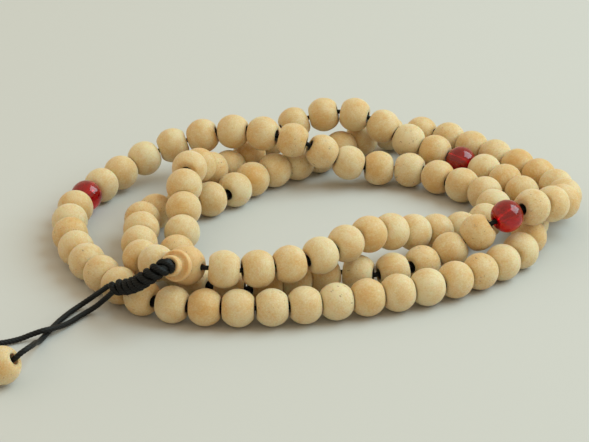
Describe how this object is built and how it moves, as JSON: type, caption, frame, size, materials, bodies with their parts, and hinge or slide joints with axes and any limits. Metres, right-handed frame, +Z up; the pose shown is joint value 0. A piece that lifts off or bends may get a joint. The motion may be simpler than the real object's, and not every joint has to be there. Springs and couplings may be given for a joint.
{
  "type": "mala prayer beads",
  "caption": "Long closed loop of round wooden beads with ruby glass markers, a guru bead with a stepped tower, a wrapped knot and beaded cord tails.",
  "frame": {"origin": "on the table, under the middle of the laid beads' box, tails left out", "axes": "+X along the laid figure's long side, away from the tails; +Y from the guru bead's side to the far side; +Z up from the table"},
  "size_m": [0.1449, 0.1245, 0.0161],
  "materials": {
    "counting_wood": "plain sanded pale wood, unvarnished",
    "guru_wood": "turned pale wood, slightly smoother",
    "tail_wood": "plain sanded pale wood, unvarnished",
    "ruby_glass": "polished deep red glass",
    "string": "black braided cord",
    "knot_thread": "black cord wrapped in tight slanting turns",
    "tail_cord": "black twisted cord"
  },
  "bodies": {
    "strand": {"beads_q2_01_to_04": "counting_wood", "beads_q2_05_to_08": "counting_wood", "beads_q2_09_to_12": "counting_wood", "beads_q2_13_to_16": "counting_wood", "beads_q2_17_to_20": "counting_wood", "beads_q2_21_to_24": "counting_wood", "beads_q2_25_to_27": "counting_wood", "beads_q3_01_to_04": "counting_wood", "beads_q3_05_to_08": "counting_wood", "beads_q3_09_to_12": "counting_wood", "beads_q3_13_to_16": "counting_wood", "beads_q3_17_to_20": "counting_wood", "beads_q3_21_to_24": "counting_wood", "beads_q3_25_to_27": "counting_wood", "beads_q4_01_to_04": "counting_wood", "beads_q4_05_to_08": "counting_wood", "beads_q4_09_to_12": "counting_wood", "beads_q4_13_to_16": "counting_wood", "beads_q4_17_to_20": "counting_wood", "beads_q4_21_to_24": "counting_wood", "beads_q4_25_to_27": "counting_wood", "guru_bead": "guru_wood", "main_cord": "string", "tail_cord_a": "tail_cord", "tail_cord_b": "tail_cord", "wrapped_knot": "knot_thread"},
    "bead_01": {"bead_01": "counting_wood"},
    "bead_02": {"bead_02": "counting_wood"},
    "bead_03": {"bead_03": "counting_wood"},
    "bead_04": {"bead_04": "counting_wood"},
    "bead_05": {"bead_05": "counting_wood"},
    "bead_06": {"bead_06": "counting_wood"},
    "bead_07": {"bead_07": "counting_wood"},
    "bead_08": {"bead_08": "counting_wood"},
    "bead_09": {"bead_09": "counting_wood"},
    "bead_10": {"bead_10": "counting_wood"},
    "bead_11": {"bead_11": "counting_wood"},
    "bead_12": {"bead_12": "counting_wood"},
    "bead_13": {"bead_13": "counting_wood"},
    "bead_14": {"bead_14": "counting_wood"},
    "bead_15": {"bead_15": "counting_wood"},
    "bead_16": {"bead_16": "counting_wood"},
    "bead_17": {"bead_17": "counting_wood"},
    "bead_18": {"bead_18": "counting_wood"},
    "bead_19": {"bead_19": "counting_wood"},
    "bead_20": {"bead_20": "counting_wood"},
    "bead_21": {"bead_21": "counting_wood"},
    "bead_22": {"bead_22": "counting_wood"},
    "bead_23": {"bead_23": "counting_wood"},
    "bead_24": {"bead_24": "counting_wood"},
    "bead_25": {"bead_25": "counting_wood"},
    "bead_26": {"bead_26": "counting_wood"},
    "bead_27": {"bead_27": "counting_wood"},
    "marker_bead_1": {"marker_bead_1": "ruby_glass"},
    "marker_bead_2": {"marker_bead_2": "ruby_glass"},
    "marker_bead_3": {"marker_bead_3": "ruby_glass"},
    "guru_tower": {"guru_tower": "guru_wood"},
    "end_bead_a": {"end_bead_a": "tail_wood"},
    "end_bead_b": {"end_bead_b": "tail_wood"}
  },
  "joints": [
    {"name": "bead_01_spin", "type": "hinge", "parent": "strand", "child": "bead_01", "pos_m": [-0.02026, -0.0407, 0.01064], "axis": [0.9956, 0.0016, -0.0934], "continuous": true},
    {"name": "bead_02_spin", "type": "hinge", "parent": "strand", "child": "bead_02", "pos_m": [-0.01319, -0.03996, 0.01036], "axis": [0.9786, 0.2053, 0.0157], "continuous": true},
    {"name": "bead_03_spin", "type": "hinge", "parent": "strand", "child": "bead_03", "pos_m": [-0.00651, -0.03822, 0.01057], "axis": [0.9535, 0.298, 0.0451], "continuous": true},
    {"name": "bead_04_spin", "type": "hinge", "parent": "strand", "child": "bead_04", "pos_m": [-0.00003, -0.03515, 0.01113], "axis": [0.8298, 0.5473, 0.1092], "continuous": true},
    {"name": "bead_05_spin", "type": "hinge", "parent": "strand", "child": "bead_05", "pos_m": [0.00544, -0.03076, 0.01179], "axis": [0.7153, 0.6945, 0.0776], "continuous": true},
    {"name": "bead_06_spin", "type": "hinge", "parent": "strand", "child": "bead_06", "pos_m": [0.01047, -0.02576, 0.01155], "axis": [0.6945, 0.7049, -0.1441], "continuous": true},
    {"name": "bead_07_spin", "type": "hinge", "parent": "strand", "child": "bead_07", "pos_m": [0.01543, -0.02104, 0.00989], "axis": [0.7063, 0.6292, -0.3246], "continuous": true},
    {"name": "bead_08_spin", "type": "hinge", "parent": "strand", "child": "bead_08", "pos_m": [0.02054, -0.01691, 0.00777], "axis": [0.7728, 0.5652, -0.2888], "continuous": true},
    {"name": "bead_09_spin", "type": "hinge", "parent": "strand", "child": "bead_09", "pos_m": [0.02569, -0.01271, 0.00588], "axis": [0.715, 0.649, -0.26], "continuous": true},
    {"name": "bead_10_spin", "type": "hinge", "parent": "strand", "child": "bead_10", "pos_m": [0.03153, -0.00875, 0.00447], "axis": [0.8895, 0.4394, -0.1255], "continuous": true},
    {"name": "bead_11_spin", "type": "hinge", "parent": "strand", "child": "bead_11", "pos_m": [0.03716, -0.00386, 0.00425], "axis": [0.5644, 0.8227, 0.0674], "continuous": true},
    {"name": "bead_12_spin", "type": "hinge", "parent": "strand", "child": "bead_12", "pos_m": [0.03956, 0.0032, 0.00455], "axis": [0.0553, 0.9984, 0.0101], "continuous": true},
    {"name": "bead_13_spin", "type": "hinge", "parent": "strand", "child": "bead_13", "pos_m": [0.03814, 0.01048, 0.00431], "axis": [-0.4247, 0.9025, -0.0718], "continuous": true},
    {"name": "bead_14_spin", "type": "hinge", "parent": "strand", "child": "bead_14", "pos_m": [0.03331, 0.01614, 0.00391], "axis": [-0.8265, 0.562, -0.0328], "continuous": true},
    {"name": "bead_15_spin", "type": "hinge", "parent": "strand", "child": "bead_15", "pos_m": [0.0279, 0.02074, 0.00388], "axis": [-0.6875, 0.7258, 0.0244], "continuous": true},
    {"name": "bead_16_spin", "type": "hinge", "parent": "strand", "child": "bead_16", "pos_m": [0.02153, 0.02462, 0.00394], "axis": [-0.9601, 0.2794, -0.0083], "continuous": true},
    {"name": "bead_17_spin", "type": "hinge", "parent": "strand", "child": "bead_17", "pos_m": [0.01428, 0.02535, 0.0041], "axis": [-0.9953, -0.0815, 0.0524], "continuous": true},
    {"name": "bead_18_spin", "type": "hinge", "parent": "strand", "child": "bead_18", "pos_m": [0.00722, 0.02491, 0.00563], "axis": [-0.9305, -0.0392, 0.3642], "continuous": true},
    {"name": "bead_19_spin", "type": "hinge", "parent": "strand", "child": "bead_19", "pos_m": [0.00092, 0.02452, 0.0087], "axis": [-0.8578, -0.0723, 0.5089], "continuous": true},
    {"name": "bead_20_spin", "type": "hinge", "parent": "strand", "child": "bead_20", "pos_m": [-0.00587, 0.02492, 0.01142], "axis": [-0.9593, 0.1786, 0.2186], "continuous": true},
    {"name": "bead_21_spin", "type": "hinge", "parent": "strand", "child": "bead_21", "pos_m": [-0.01286, 0.0268, 0.01229], "axis": [-0.9434, 0.3311, 0.0198], "continuous": true},
    {"name": "bead_22_spin", "type": "hinge", "parent": "strand", "child": "bead_22", "pos_m": [-0.01989, 0.02883, 0.01191], "axis": [-0.9673, 0.2222, -0.122], "continuous": true},
    {"name": "bead_23_spin", "type": "hinge", "parent": "strand", "child": "bead_23", "pos_m": [-0.02708, 0.02986, 0.01034], "axis": [-0.9534, 0.052, -0.2972], "continuous": true},
    {"name": "bead_24_spin", "type": "hinge", "parent": "strand", "child": "bead_24", "pos_m": [-0.03412, 0.02935, 0.00814], "axis": [-0.937, -0.1909, -0.2926], "continuous": true},
    {"name": "bead_25_spin", "type": "hinge", "parent": "strand", "child": "bead_25", "pos_m": [-0.04067, 0.02671, 0.00597], "axis": [-0.8069, -0.5172, -0.2853], "continuous": true},
    {"name": "bead_26_spin", "type": "hinge", "parent": "strand", "child": "bead_26", "pos_m": [-0.046, 0.02213, 0.00436], "axis": [-0.6552, -0.7387, -0.1579], "continuous": true},
    {"name": "bead_27_spin", "type": "hinge", "parent": "strand", "child": "bead_27", "pos_m": [-0.05015, 0.01631, 0.00381], "axis": [-0.4933, -0.8699, 0.0053], "continuous": true},
    {"name": "marker_bead_1_spin", "type": "hinge", "parent": "strand", "child": "marker_bead_1", "pos_m": [-0.05314, 0.01018, 0.00394], "axis": [-0.3782, -0.9251, 0.0348], "continuous": true},
    {"name": "marker_bead_2_spin", "type": "hinge", "parent": "strand", "child": "marker_bead_2", "pos_m": [0.03365, 0.0277, 0.0047], "axis": [-0.8032, 0.5898, 0.0844], "continuous": true},
    {"name": "marker_bead_3_spin", "type": "hinge", "parent": "strand", "child": "marker_bead_3", "pos_m": [0.04073, -0.01723, 0.01181], "axis": [0.8525, 0.4859, 0.1928], "continuous": true},
    {"name": "guru_tower_spin", "type": "hinge", "parent": "strand", "child": "guru_tower", "pos_m": [-0.02832, -0.03842, 0.01044], "axis": [-0.3421, -0.8483, 0.4041], "continuous": true},
    {"name": "end_bead_a_spin", "type": "hinge", "parent": "strand", "child": "end_bead_a", "pos_m": [-0.06379, -0.07056, 0.0042], "axis": [0.8026, -0.2006, 0.5618], "continuous": true},
    {"name": "end_bead_b_spin", "type": "hinge", "parent": "strand", "child": "end_bead_b", "pos_m": [-0.07949, -0.05936, 0.0039], "axis": [0.9507, 0.3102, 0], "continuous": true}
  ]
}
